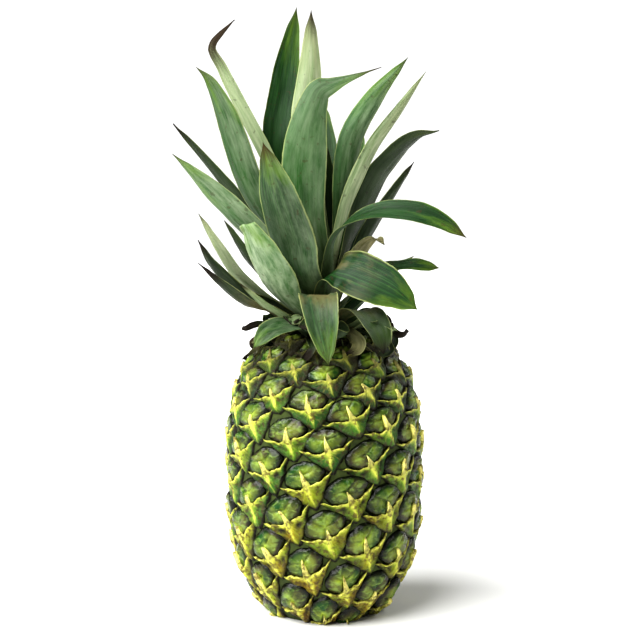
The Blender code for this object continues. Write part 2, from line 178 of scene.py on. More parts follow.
# The leaves at the back arch outward in one sweep: node, azimuth, root height, reach, rise, width
BACK_LEAVES = [
    ("back_leaf_1", 181, 44, 46, 148, 20), ("back_leaf_2", 150, 40, 48, 130, 20),
    ("back_leaf_3", 228, 42, 58, 128, 20), ("back_leaf_4", 185, 34, 62, 112, 21),
    ("back_leaf_5", 146, 31, 62, 102, 20), ("back_leaf_6", 231, 28, 66, 89, 17),
    ("back_leaf_7", 208, 26, 68, 84, 21), ("back_leaf_8", 162, 24, 68, 76, 21),
    ("back_leaf_9", 118, 14, 62, 52, 17), ("back_leaf_10", 230, 18, 68, 60, 19),
    ("back_leaf_11", 184, 16, 66, 50, 20), ("back_leaf_12", 142, 12, 60, 36, 18),
    ("back_leaf_13", 254, 10, 58, 34, 16), ("back_leaf_14", 208, 9, 56, 24, 18),
]

NECK_BRACTS = (-60, -8, 18, 62, 96, 128, 170, 222, 268)

# Shares of a blade's length at which its widths are given, and its end
WIDTH_PLACES = (0.0, 0.25, 0.5, 0.75, 0.92, 1.0)


# ---------------------------------------------------------------- helpers


def node(tree, kind, inputs=(), **settings):
    """Adds a node, sets its properties, and sets or links its inputs.

    Inputs are a list in socket order or a dict by socket name or number. A node given as an input stands for
    its first output in use.
    """
    made = tree.nodes.new(kind)
    for name, value in settings.items():
        setattr(made, name, value)
    for key, value in inputs.items() if isinstance(inputs, dict) else enumerate(inputs):
        if isinstance(value, bpy.types.Node):
            value = next(output for output in value.outputs if output.enabled)
        if isinstance(value, bpy.types.NodeSocket):
            tree.links.new(value, made.inputs[key])
        else:
            made.inputs[key].default_value = value
    return made


def colour(text):
    """A linear colour with alpha from an sRGB hex value."""
    parts = [int(text[i : i + 2], 16) / 255 for i in (1, 3, 5)]
    return (*(c / 12.92 if c <= 0.04045 else ((c + 0.055) / 1.055) ** 2.4 for c in parts), 1.0)


def new_tree(name, sockets):
    """A geometry node tree with a geometry input and output, and these named inputs."""
    tree = bpy.data.node_groups.new(name, "GeometryNodeTree")
    tree.interface.new_socket("Geometry", in_out="INPUT", socket_type="NodeSocketGeometry")
    tree.interface.new_socket("Geometry", in_out="OUTPUT", socket_type="NodeSocketGeometry")
    for label, kind, default in sockets:
        socket = tree.interface.new_socket(label, in_out="INPUT", socket_type="NodeSocket" + kind)
        if default is not None:
            socket.default_value = default
    return tree, tree.nodes.new("NodeGroupInput"), tree.nodes.new("NodeGroupOutput")


def new_mesh(name, vertices, edges, faces, attributes=()):
    """A mesh object with named point attributes, lists of floats or of vectors."""
    mesh = bpy.data.meshes.new(name)
    mesh.from_pydata(vertices, edges, faces)
    for label, values in dict(attributes).items():
        values = np.asarray(values, dtype=np.float32)
        kind, field = ("FLOAT_VECTOR", "vector") if values.ndim == 2 else ("FLOAT", "value")
        mesh.attributes.new(label, kind, "POINT").data.foreach_set(field, values.ravel())
    made = bpy.data.objects.new(name, mesh)
    bpy.context.scene.collection.objects.link(made)
    return made


def grow(name, source, tree, values):
    """Runs a tree on a source object and returns the baked mesh as an object at the origin."""
    modifier = source.modifiers.new("grow", "NODES")
    modifier.node_group = tree
    for item in tree.interface.items_tree:
        if item.item_type == "SOCKET" and item.in_out == "INPUT" and item.name in values:
            modifier[item.identifier] = values[item.name]
    graph = bpy.context.evaluated_depsgraph_get()
    mesh = bpy.data.meshes.new_from_object(source.evaluated_get(graph), preserve_all_data_layers=True, depsgraph=graph)
    source.modifiers.remove(modifier)
    bpy.data.objects.remove(source, do_unlink=True)
    if not mesh.polygons:
        raise RuntimeError(name + " grew no faces")
    mesh.name = name
    made = bpy.data.objects.new(name, mesh)
    bpy.context.scene.collection.objects.link(made)
    return made


def place(piece, slot, *nodes):
    """Rides a piece on the part and hides the CAD nodes it stands for. The slot is not used."""
    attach(piece, "root")
    if nodes:
        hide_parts(*nodes)


# ---------------------------------------------------------------- the barrel


def barrel_radius(height):
    """The fruit's mean radius at a height above the base, both in millimetres."""
    tall = FRUIT_TALL / MM
    widest = WIDEST_SHARE * tall
    girth = bpy.context.scene.pineapple_fruit.girth_radius / MM
    if height < widest:
        return girth * math.sqrt(1 - END_CLOSING * ((widest - height) / widest) ** LOWER_ROUNDING)
    return girth * math.sqrt(1 - END_CLOSING * ((height - widest) / (tall - widest)) ** UPPER_ROUNDING)


def barrel_profile():
    """The side's outline from the stalk's edge out along the base, up the side and in to the crown.

    Gives (radius, height) points in metres, the length of the part under the base and the side's length.
    """
    tall = FRUIT_TALL / MM
    heights = [tall * i / SIDE_STEPS for i in range(SIDE_STEPS + 1)]
    side = [(barrel_radius(height), height) for height in heights]
    foot = side[0][0]
    under = [(foot * share, BASE_HOLLOW * (1 - share) ** 0.5) for share in (0.45, 0.6, 0.75, 0.9)]
    over = [(side[-1][0] * share, tall - TOP_DISH * (1 - share)) for share in (0.9, 0.7, 0.5, 0.3)]
    points = [(r * MM, h * MM) for r, h in under + side + over]
    steps = [math.dist(a, b) for a, b in zip(points, points[1:])]
    return points, sum(steps[: len(under)]), sum(steps[len(under) : len(under) + SIDE_STEPS])


def barrel_outline():
    """The outline as an object for the node trees to sample."""
    points, under, side = barrel_profile()
    edges = [(i, i + 1) for i in range(len(points) - 1)]
    outline = new_mesh("barrel_outline", [(r, 0.0, h) for r, h in points], edges, [])
    return outline, under, side


def wrap_tree():
    """Lays flat geometry round the barrel: x is the way round, y the way up its side, z the height off it."""
    tree, given, result = new_tree(
        "wrap round the barrel", [("Outline", "Object", None), ("Girth", "Float", 0.0565), ("Under", "Float", 0.02)]
    )
    add, g = partial(node, tree), given.outputs
    sideways, upward, off = add("ShaderNodeSeparateXYZ", [add("GeometryNodeInputPosition")]).outputs
    outline = add("GeometryNodeObjectInfo", [g["Outline"]]).outputs["Geometry"]
    curve = add("GeometryNodeMeshToCurve", [outline])
    arc = add(MATH, [upward, g["Under"]], operation="ADD")
    sample = add("GeometryNodeSampleCurve", {"Curves": curve, "Length": arc}, mode="LENGTH").outputs
    at = add("ShaderNodeSeparateXYZ", [sample["Position"]]).outputs
    along = add("ShaderNodeSeparateXYZ", [sample["Tangent"]]).outputs
    out = add(MATH, [off, along[2], at[0]], operation="MULTIPLY_ADD")
    less = add(MATH, [off, along[0]], operation="MULTIPLY")
    up = add(MATH, [at[2], less], operation="SUBTRACT")
    turn = add(MATH, [sideways, g["Girth"]], operation="DIVIDE")
    x = add(MATH, [out, add(MATH, [turn], operation="SINE")], operation="MULTIPLY")
    y = add(MATH, [out, add(MATH, [turn], operation="COSINE")], operation="MULTIPLY")
    back = add(MATH, [y, -1.0], operation="MULTIPLY")
    above = add(MATH, [up, FLOOR_GAP], operation="MAXIMUM")
    spot = add("ShaderNodeCombineXYZ", [x, back, above])
    moved = add("GeometryNodeSetPosition", {0: g[0], "Position": spot})
    tree.links.new(moved.outputs[0], result.inputs[0])
    return tree


def spiral_tree(wrap):
    """Sets fruitlets on the spiral, in flat coordinates, with their size, lean and tint, then wraps them."""
    tree, given, result = new_tree(
        "fruitlets on a spiral",
        [
            ("Fruitlets", "Collection", None), ("Outline", "Object", None), ("Count", "Int", 130),
            ("First", "Int", -4), ("Divergence", "Float", 2.4325), ("Phase", "Float", -0.9966),
            ("First rise", "Float", 0.00199), ("Rise change", "Float", RISE_CHANGE), ("Start", "Float", 0.00093),
            ("Front spread", "Float", 0.05), ("Girth", "Float", 0.0565), ("Under", "Float", 0.02),
            ("Side length", "Float", 0.1815), ("Unevenness", "Float", 0.0018), ("Lean", "Float", 0.15),
            ("Seed", "Int", 4), ("Finish", "Material", None),
        ],
    )
    add, g = partial(node, tree), given.outputs
    number = add(MATH, [add("GeometryNodeInputIndex"), g["First"]], operation="ADD")
    raw = add(MATH, [number, g["Divergence"], g["Phase"]], operation="MULTIPLY_ADD")
    swing = add(MATH, [raw], operation="SINE")
    turn = add(MATH, [swing, g["Front spread"], raw], operation="MULTIPLY_ADD")
    x = add(MATH, [turn, g["Girth"]], operation="MULTIPLY")
    slope = add(MATH, [number, g["Rise change"], g["First rise"]], operation="MULTIPLY_ADD")
    y = add(MATH, [number, slope, g["Start"]], operation="MULTIPLY_ADD")
    line = add("GeometryNodeMeshLine", {"Count": g["Count"]})
    seat = add("ShaderNodeCombineXYZ", [x, y])
    stray = add(RANDOM, {0: (-STRAY, -STRAY, 0.0), 1: (STRAY, STRAY, 0.0), "Seed": 21}, data_type="FLOAT_VECTOR")
    points = add("GeometryNodeSetPosition", {0: line, "Position": seat, "Offset": stray})
    # The rise from one fruitlet to the next falls up the side, and the fruitlets get shorter and flatter with it.
    rise = add(MATH, [number, 2 * RISE_CHANGE, g["First rise"]], operation="MULTIPLY_ADD")
    tall = add(MATH, [rise, DRAWN_RISE], operation="DIVIDE")
    size = add("ShaderNodeCombineXYZ", [1.0, tall, add(MATH, [tall, 0.5], operation="POWER")])
    least = add(MATH, [g["Lean"], -1.0], operation="MULTIPLY")
    lean = add("ShaderNodeCombineXYZ", {2: add(RANDOM, {2: least, 3: g["Lean"], "Seed": g["Seed"]})})
    tinted = add(STORE, {0: points, "Name": "tint", "Value": add(RANDOM, {"Seed": 11})})
    kinds = add("GeometryNodeCollectionInfo", {0: g["Fruitlets"], "Separate Children": True, "Reset Children": True})
    pick = add(RANDOM, {4: 0, 5: 5, "Seed": 7}, data_type="INT")
    planted = add(
        "GeometryNodeInstanceOnPoints",
        {
            "Points": tinted, "Instance": kinds, "Pick Instance": True, "Instance Index": pick,
            "Rotation": add("FunctionNodeEulerToRotation", [lean]), "Scale": size,
        },
    )
    held = add("GeometryNodeRealizeInstances", [planted])
    spot = add("GeometryNodeInputPosition")
    flat = add("ShaderNodeSeparateXYZ", [spot]).outputs
    share = add(MATH, [flat[1], g["Side length"]], operation="DIVIDE")
    for label, value in (("up_side", share), ("relief", flat[2])):
        held = add(STORE, {0: held, "Name": label, "Value": value})
    # Broad and fine unevenness breaks up the repeated shapes.
    broad = add(NOISE, {"Vector": spot, "Scale": 110.0, "Detail": 2.0}).outputs["Color"]
    centred = add("ShaderNodeVectorMath", [broad, (0.5, 0.5, 0.5)], operation="SUBTRACT")
    amount = add(MATH, [g["Unevenness"], 2.0], operation="MULTIPLY")
    push = add("ShaderNodeVectorMath", {0: centred, "Scale": amount}, operation="SCALE")
    close = add(NOISE, {"Vector": spot, "Scale": 420.0, "Detail": 2.0})
    close = add(MATH, [close, 0.5], operation="SUBTRACT")
    close = add(MATH, [close, g["Unevenness"]], operation="MULTIPLY")
    for offset in (push, add("ShaderNodeCombineXYZ", {2: close})):
        held = add("GeometryNodeSetPosition", {0: held, "Offset": offset})
    wrapped = add("GeometryNodeGroup", node_tree=wrap)
    tree.links.new(held.outputs[0], wrapped.inputs["Geometry"])
    for label in ("Outline", "Girth", "Under"):
        tree.links.new(g[label], wrapped.inputs[label])
    solid = add("GeometryNodeRealizeInstances", [add("GeometryNodeSetShadeSmooth", [wrapped])])
    done = add("GeometryNodeSetMaterial", {0: solid, "Material": g["Finish"]})
    tree.links.new(done.outputs[0], result.inputs[0])
    return tree


def turned(u, v, twist):
    """Flat fruitlet coordinates turned by the twist of the spiral."""
    return u * math.cos(twist) - v * math.sin(twist), u * math.sin(twist) + v * math.cos(twist)


def bract(name, spine, lean, arm, leg, twist, seed):
    """A fleshy bract: two arms along the eye's foot, a broad leg between the next eyes and a needle over the eye."""
    rng = np.random.default_rng(seed)
    bend, sag, tilt = rng.uniform(-0.9, 0.9), rng.uniform(0.6, 1.6), rng.uniform(-1.2, 1.2)
    torn = [(depth, rate, rng.uniform(0, math.tau)) for depth, rate in ((0.35, 9), (0.3, 17), (0.22, 29))]
    across = [0.0, 0.02, 0.042, 0.07, 0.1, 0.13, 0.18, 0.24, 0.31, 0.38, 0.46, 0.54, 0.62, 0.71, 0.8, 0.9, 1.0]
    across = [-s for s in across[:0:-1]] + across
    down = [0.0, 0.03, 0.08, 0.15, 0.24, 0.34, 0.46, 0.6, 0.74, 0.88, 1.0]
    vertices, shade, fan, reach = [], [], [], []

    def rim(s):
        tear = sum(depth * math.sin(rate * s + start) for depth, rate, start in torn)
        return -0.8 + 6.0 * abs(s) ** 1.9 + tilt * s * (1 - abs(s)) + tear * min(1.0, 6 * abs(s))

    def needle(s):
        return max(0.0, 1 - abs(s) / 0.1) ** 1.25

    def lay(u, v, w, pale):
        x, y = turned(u, v, twist)
        vertices.append((x * MM, y * MM, w * MM))
        shade.append(pale)
        fan.append(math.atan2(v + 0.5, u) / math.pi)
        reach.append(math.hypot(u, v))
        return len(vertices) - 1

    rows = []
    for t in down:
        half = arm * (1 - t) ** 0.9
        row = []
        for s in across:
            tip = needle(s) * max(0.0, 1 - t / 0.11) ** 1.4
            u = half * s + lean * tip**1.7 + bend * t * (1 - t) * 3 + 0.5 * s * math.sin(23 * t + torn[0][2])
            v = (1 - t) * rim(s) - leg * t + spine * tip
            body = 2.2 - 1.3 * t - 1.1 * abs(s) ** 1.2 * (1 + t)
            w = BRACT_ROOT + (body - BRACT_ROOT) * (1 - abs(s) ** 9) * (1 - t**9)
            w += 0.7 * math.exp(-t / 0.05) * (1 - s * s) + 0.2 * tip + 1.2 * tip * (1 - tip)
            w += 0.9 * math.exp(-((s / 0.1) ** 2)) * (1 - t) ** 1.3
            w -= sag * math.exp(-(((abs(s) - 0.36) / 0.17) ** 2) - ((t - 0.24) / 0.14) ** 2)
            keel = 0.55 * math.exp(-((s / 0.09) ** 2)) * (1 - t)
            light = max(keel, 0.6 * math.exp(-t / 0.07)) + 0.25 * (1 - t) * (1 - abs(s)) + 0.8 * tip
            row.append(lay(u, v, w, light))
        rows.append(row)
    behind = []
    for s in across:
        tip = needle(s)
        w = 1.3 - 1.2 * abs(s) ** 1.2 - 3.0 * abs(s) ** 9 + 0.7 * tip
        behind.append(lay(arm * s * 0.99 + lean * tip**1.7, rim(s) + spine * tip - 0.1, w, 0.75))
    foot = [lay(arm * s * 0.98, rim(s) + 0.3, BRACT_ROOT - 0.1, 0.1) for s in across]
    hub = lay(0.0, -5.0, BRACT_ROOT - 0.4, 0.0)
    sheets = [foot, behind, *rows]
    faces = [
        (above[i], below[i], below[i + 1], above[i + 1])
        for above, below in zip(sheets, sheets[1:])
        for i in range(len(across) - 1)
    ]
    loop = [*foot, *[sheet[-1] for sheet in sheets[1:]], *rows[-1][-2::-1], *[sheet[0] for sheet in sheets[-2:0:-1]]]
    faces += [(hub, one, two) for one, two in zip(loop, loop[1:] + loop[:1])]
    return new_mesh(name, vertices, [], faces, {"pale": shade, "fan": fan, "reach": reach})


def eye(name, twist, high, seed):
    """An eye: a low lozenge of three sepals that meet over a pit, plunging into a groove at its rim."""
    rng = np.random.default_rng(seed)
    tilt = rng.uniform(-0.3, 0.3)
    rings = [0.1, 0.22, 0.35, 0.48, 0.6, 0.71, 0.8, 0.88, 0.95, 1.0]
    sides = EYE_SIDES
    vertices, facets, edge, painted_seam_shade = [], [], [], []
    rays = [math.radians(a) + tilt for a in (28, 158, 262)]

    def height(u, v, reach):
        w = EYE_ROOT + (high - EYE_ROOT - 0.6 * reach * reach) * (1 - reach**9) ** 0.85
        crease = 0.0
        for ray in rays:
            ahead = u * math.cos(ray) + v * math.sin(ray)
            aside = abs(v * math.cos(ray) - u * math.sin(ray))
            if ahead > 0:
                crease = max(crease, 0.5 * math.exp(-((aside / 0.5) ** 2)) * min(1.0, ahead / 1.5))
                w -= 0.55 * math.exp(-((aside / 0.8) ** 2)) * min(1.0, ahead / 1.5) * (1 - reach**4)
                w += 0.5 * math.exp(-(((aside - 1.7) / 1.0) ** 2)) * min(1.0, ahead / 3) * (1 - reach**4)
        return w - 0.6 * math.exp(-((u * u + v * v) / 2.2)) - 0.5 * reach * reach * (v > 0), crease

    def lay(u, v, reach):
        x, y = turned(u, v + EYE_MIDDLE, twist)
        w, crease = height(u, v, reach)
        vertices.append((x * MM, y * MM, w * MM))
        angle = (math.atan2(v, u) - tilt) % math.tau
        facets.append(0.0 if 0.49 <= angle < 2.76 else (0.5 if 2.76 <= angle < 4.57 else 1.0))
        edge.append(reach)
        painted_seam_shade.append(crease)

    lay(0.0, 0.0, 0.0)
    for reach in rings:
        for side in range(sides):
            angle = math.tau * side / sides
            cosine, sine = math.cos(angle), math.sin(angle)
            bound = abs(cosine / EYE_WIDE) ** EYE_SQUARENESS + abs(sine / EYE_HIGH) ** EYE_SQUARENESS
            bound **= -1 / EYE_SQUARENESS
            lay(bound * reach * cosine, bound * reach * sine, reach)
    lay(0.0, 0.0, 1.0)
    vertices[-1] = (*vertices[-1][:2], -4.0 * MM)
    faces = []
    for side in range(sides):
        beside = (side + 1) % sides
        faces.append((0, 1 + side, 1 + beside))
        outer = 1 + (len(rings) - 1) * sides
        faces.append((len(vertices) - 1, outer + beside, outer + side))
        for ring in range(len(rings) - 1):
            near, far = 1 + ring * sides, 1 + (ring + 1) * sides
            faces.append((near + side, far + side, far + beside, near + beside))
    return new_mesh(name, vertices, [], faces, {"facet": facets, "edge": edge, "crease": painted_seam_shade})


def kinds_of(name, objects):
    """A collection of templates for the spiral to pick from, kept out of the scene."""
    group = bpy.data.collections.new(name)
    for item in objects:
        bpy.context.scene.collection.objects.unlink(item)
        group.objects.link(item)
    return group


# ---------------------------------------------------------------- leaves


def between(a, b, c, d, t):
    """A Catmull-Rom step: the value a share t of the way from b to c, with a before them and d after."""
    return 0.5 * (2 * b + (c - a) * t + (2 * a - 5 * b + 4 * c - d) * t**2 + (3 * b - a - 3 * c + d) * t**3)


def smooth_path(points, count):
    """Evenly spaced points on a Catmull-Rom curve through the given ones."""
    ends = [points[0] * 2 - points[1], *points, points[-1] * 2 - points[-2]]
    fine = [
        between(a, b, c, d, step / CURVE_STEPS)
        for a, b, c, d in zip(ends, ends[1:], ends[2:], ends[3:])
        for step in range(CURVE_STEPS)
    ]
    fine.append(points[-1])
    arcs = [0.0]
    for one, two in zip(fine, fine[1:]):
        arcs.append(arcs[-1] + (two - one).length)
    path, here = [], 0
    for i in range(count):
        wanted = arcs[-1] * i / (count - 1)
        while here < len(fine) - 2 and arcs[here + 1] < wanted:
            here += 1
        path.append(fine[here].lerp(fine[here + 1], (wanted - arcs[here]) / (arcs[here + 1] - arcs[here])))
    return path


def ease(t):
    """A smooth step from 0 to 1."""
    t = min(max(t, 0.0), 1.0)
    return t * t * (3 - 2 * t)


def blade_width(t, widths):
    """Full width from root to tip: eased through the given widths, and drawn out to a fine point."""
    widths = (*widths, 0.0)
    i = max(number for number, place_on in enumerate(WIDTH_PLACES[:-1]) if t >= place_on)
    share = (t - WIDTH_PLACES[i]) / (WIDTH_PLACES[i + 1] - WIDTH_PLACES[i])
    before, after = widths[max(i - 1, 0)], widths[min(i + 2, len(widths) - 1)]
    return max(between(before, widths[i], widths[i + 1], after, share), 0.0)


def midrib(name, path, widths, azimuth, face, roll):
    """The midrib as a line of points that carry the blade's half width and the way across it."""
    last = len(path) - 1
    ways, halves = [], []
    for i in range(len(path)):
        turn = ease(2.0 * i / last)
        facing = math.radians(azimuth + (face - azimuth) * turn)
        sideways = Vector((math.cos(facing), math.sin(facing), 0.0))
        tangent = (path[min(i + 1, last)] - path[max(i - 1, 0)]).normalized()
        way = (sideways - sideways.dot(tangent) * tangent).normalized()
        inward = tangent.cross(way)
        angle = math.radians(roll * turn)
        ways.append(tuple(way * math.cos(angle) + inward * math.sin(angle)))
        halves.append(blade_width(i / last, widths) / 2 * MM)
    points = [tuple((p + Vector((0, 0, CROWN_FOOT))) * MM) for p in path]
    edges = [(i, i + 1) for i in range(last)]
    return new_mesh(name, points, edges, [], {"across": ways, "half_width": halves})


def blade_tree():
    """Sweeps a channelled blade along a midrib: thick in the middle, thin at its margins, closed at both ends."""
    tree, given, result = new_tree(
        "leaf blade",
        [
            ("Rows", "Int", 90), ("Ring", "Int", 33), ("Channel", "Float", 0.3), ("Root channel", "Float", 0.5),
            ("Thickness", "Float", 0.0018), ("Ripple", "Float", 0.0008), ("Fray", "Float", 0.05),
            ("Seed", "Float", 0.0), ("Finish", "Material", None),
        ],
    )
    add, g = partial(node, tree), given.outputs
    curve = add("GeometryNodeMeshToCurve", [g["Geometry"]])
    held = add("GeometryNodeMeshGrid", {"Size X": 1.0, "Size Y": 1.0, "Vertices X": g["Ring"], "Vertices Y": g["Rows"]})
    flat = add("ShaderNodeSeparateXYZ", [add("GeometryNodeInputPosition")]).outputs
    turn = add(MATH, [flat[0], math.tau], operation="MULTIPLY")
    for label, value in (
        ("along", add(MATH, [flat[1], 0.5], operation="ADD")),
        ("side", add(MATH, [turn], operation="COSINE")),
        ("upper", add(MATH, [turn], operation="SINE")),
    ):
        held = add(STORE, {0: held, "Name": label, "Value": value})
    along, side, upper, half_width = (
        add("GeometryNodeInputNamedAttribute", {"Name": label}) for label in ("along", "side", "upper", "half_width")
    )
    across = add("GeometryNodeInputNamedAttribute", {"Name": "across"}, data_type="FLOAT_VECTOR")
    wide, way = (
        add("GeometryNodeSampleCurve", {"Curves": curve, "Value": value, "Factor": along}, data_type=kind).outputs
        for value, kind in ((half_width, "FLOAT"), (across, "FLOAT_VECTOR"))
    )
    inward = add("ShaderNodeVectorMath", [wide["Tangent"], way["Value"]], operation="CROSS_PRODUCT")
    inward = add("ShaderNodeVectorMath", [inward], operation="NORMALIZE")
    # The margins are nibbled a little.
    place_of = add("ShaderNodeCombineXYZ", [along, g["Seed"], side])
    nibble = add(NOISE, {"Vector": place_of, "Scale": 26.0, "Detail": 3.0})
    nibble = add(MATH, [nibble, 0.5], operation="SUBTRACT")
    nibble = add(MATH, [nibble, g["Fray"], 1.0], operation="MULTIPLY_ADD")
    half = add(MATH, [wide["Value"], nibble], operation="MULTIPLY")
    aside = add(MATH, [half, side], operation="MULTIPLY")
    # The blade is a channel, deeper at its root.
    bowed = add(MATH, [aside, side], operation="MULTIPLY")
    rooted = add(RANGE, [along, 0.0, 0.35, g["Root channel"], g["Channel"]])
    channel = add(MATH, [bowed, rooted], operation="MULTIPLY")
    # It thins towards its margins and its tip.
    thick = add(MATH, [add(MATH, [side, 2.0], operation="POWER"), -0.75, 1.0], operation="MULTIPLY_ADD")
    thick = add(MATH, [g["Thickness"], thick], operation="MULTIPLY")
    for factor in (add(RANGE, [along, 0.0, 1.0, 0.5, 0.15]), upper):
        thick = add(MATH, [thick, factor], operation="MULTIPLY")
    wave = add(NOISE, {"Vector": place_of, "Scale": 5.0, "Detail": 1.0})
    wave = add(MATH, [wave, 0.5], operation="SUBTRACT")
    wave = add(MATH, [wave, g["Ripple"]], operation="MULTIPLY")
    lift = add(MATH, [channel, thick], operation="ADD")
    lift = add(MATH, [lift, wave], operation="ADD")
    # Both ends close to a point.
    ends = add(RANGE, [along, 0.0, 0.012, 0.0, 1.0])
    shut = add(MATH, [ends, lift], operation="MULTIPLY")
    narrow = add(MATH, [ends, aside], operation="MULTIPLY")
    spot = wide["Position"]
    for direction, length in ((way["Value"], narrow), (inward, shut)):
        step = add("ShaderNodeVectorMath", {0: direction, "Scale": length}, operation="SCALE")
        spot = add("ShaderNodeVectorMath", [spot, step], operation="ADD")
    swept = add("GeometryNodeSetPosition", {0: held, "Position": spot})
    welded = add("GeometryNodeMergeByDistance", {0: swept, "Distance": WELD})
    real = add("GeometryNodeRealizeInstances", [add("GeometryNodeSetShadeSmooth", [welded])])
    done = add("GeometryNodeSetMaterial", {0: real, "Material": g["Finish"]})
    tree.links.new(done.outputs[0], result.inputs[0])
    return tree


def from_axis(azimuth, radius, height):
    """A crown point from its azimuth in degrees, distance from the axis and height."""
    turn = math.radians(azimuth)
    return Vector((radius * math.sin(turn), -radius * math.cos(turn), height))


def stem_radius(height):
    """The crown stem's radius at a height, in millimetres."""
    share = (height - STEM_FOOT) / (STEM_TOP - STEM_FOOT)
    return STEM_FOOT_RADIUS + (STEM_TOP_RADIUS - STEM_FOOT_RADIUS) * share


# ---------------------------------------------------------------- materials


def new_material(name):
    """An empty node material, and the function that adds nodes to it."""
    made = bpy.data.materials.new(name)
    made.use_nodes = True
    made.node_tree.nodes.clear()
    return made, partial(node, made.node_tree)


def finish_material(add, inputs):
    """Ends a material in a Principled shader with these inputs."""
    add("ShaderNodeOutputMaterial", [add("ShaderNodeBsdfPrincipled", inputs)])


def reading(add, label):
    """A named attribute's number inside a material."""
    return add("ShaderNodeAttribute", attribute_name=label).outputs["Fac"]


def leaf_material(name, dark, light, vein, tip, dry, bloom, roughness):
    """Living bromeliad leaf: a waxy skin with parallel veins, a grey scurf of trichomes and a drying tip."""
    made, add = new_material(name)
    along, side, upper, tint, scurf, drying, painted_light_split, tan = (
        reading(add, label) for label in ("along", "side", "upper", "tint", "bloom", "drying", "painted_light_split", "tan")
    )
    spot = add("ShaderNodeTexCoord").outputs["Object"]
    ribs = add("ShaderNodeCombineXYZ", [side, along, tint])
    # Veins run the whole blade about 0.8 mm apart: fine across it and long along it.
    lines = add(MAPPING, {0: ribs, 3: (14.0, 1.2, 9.0)})
    lines = add(NOISE, {"Vector": lines, "Scale": 1.6, "Detail": 3.0})
    ridge = add(RANGE, [lines, 0.48, 0.72, 0.0, 0.38])
    # Tone drifts in long soft patches down the blade.
    patches = add(MAPPING, {0: ribs, 3: (1.1, 3.2, 9.0)})
    patches = add(NOISE, {"Vector": patches, "Scale": 1.0, "Detail": 6.0, "Roughness": 0.6})
    patches = add(RANGE, [patches, 0.27, 0.73])
    tone = add(RANGE, [add(MATH, [patches, tint], operation="ADD"), 0.25, 1.55])
    # The blade's foot is paler and yellower where the light never reached it.
    foot = add(RANGE, [along, 0.0, 0.3, 0.3, 0.0])
    # Scurf: a silvery wash, heaviest on the under side.
    wash = add(MAPPING, {0: ribs, 3: (3.0, 7.0, 9.0)})
    wash = add(NOISE, {"Vector": wash, "Scale": 1.0, "Detail": 6.0, "Roughness": 0.65})
    wash = add(RANGE, [wash, 0.3, 0.78])
    # Painted light: one half of the blade gets more bloom than the other, so it is paler.
    halves = add(MATH, [side, painted_light_split, 1.0], operation="MULTIPLY_ADD")
    under = add(RANGE, [upper, 0.3, -0.3, 0.0, 0.32])
    for value, step in ((halves, "MULTIPLY"), (under, "ADD"), (wash, "MULTIPLY")):
        scurf = add(MATH, [scurf, value], operation=step)
    scurf = add(MATH, [scurf, 0.5], operation="MULTIPLY", use_clamp=True)
    # Ripening tips: the outer third yellows.
    late = add(MATH, [patches, 0.5, along], operation="MULTIPLY_ADD")
    late = add(RANGE, [late, 1.0, 1.4, 0.0, 0.6])
    # Tan patches where a blade is bruised along its fold.
    bruise = add(MATH, [add(RANGE, [along, 0.72, 0.45]), tan], operation="MULTIPLY")
    bruise = add(MATH, [bruise, add(RANGE, [patches, 0.35, 0.6])], operation="MULTIPLY")
    # Dark freckles and scratches.
    freckle = add(NOISE, {"Vector": spot, "Scale": 300.0, "Detail": 3.0})
    freckle = add(RANGE, [freckle, 0.64, 0.7, 0.0, 0.45])
    # Margins: a thin pale line.
    margin = add(RANGE, [add(MATH, [side], operation="ABSOLUTE"), 0.93, 1.0, 0.0, 0.6])
    # Drying runs back from the tip and in from the margins.
    brown = add(MATH, [lines, 0.25, along], operation="MULTIPLY_ADD")
    brown = add(RANGE, [add(MATH, [brown, drying], operation="ADD"), 1.1, 1.2])
    skin = add(MIX, {0: tone, 6: colour(dark), 7: colour(light)}, data_type="RGBA")
    for mask, coat in (
        (ridge, vein), (foot, "#93A06A"), (scurf, bloom), (late, tip), (bruise, "#6A6240"), (freckle, dry),
        (margin, "#B9C27C"), (brown, dry),
    ):
        skin = add(MIX, {0: mask, 6: skin, 7: colour(coat)}, data_type="RGBA")
    rough = add(RANGE, {"Value": brown, 3: roughness, 4: 0.85})
    fine = add(NOISE, {"Vector": add(MAPPING, {0: ribs, 3: (60.0, 4.0, 9.0)}), "Scale": 1.0, "Detail": 2.0})
    bump = add("ShaderNodeBump", {"Strength": 0.35, "Distance": 0.0006, "Height": fine})
    finish_material(
        add, {"Base Color": skin, "Roughness": rough, "Normal": bump, "IOR": 1.45, "Specular IOR Level": 0.24}
    )
    return made


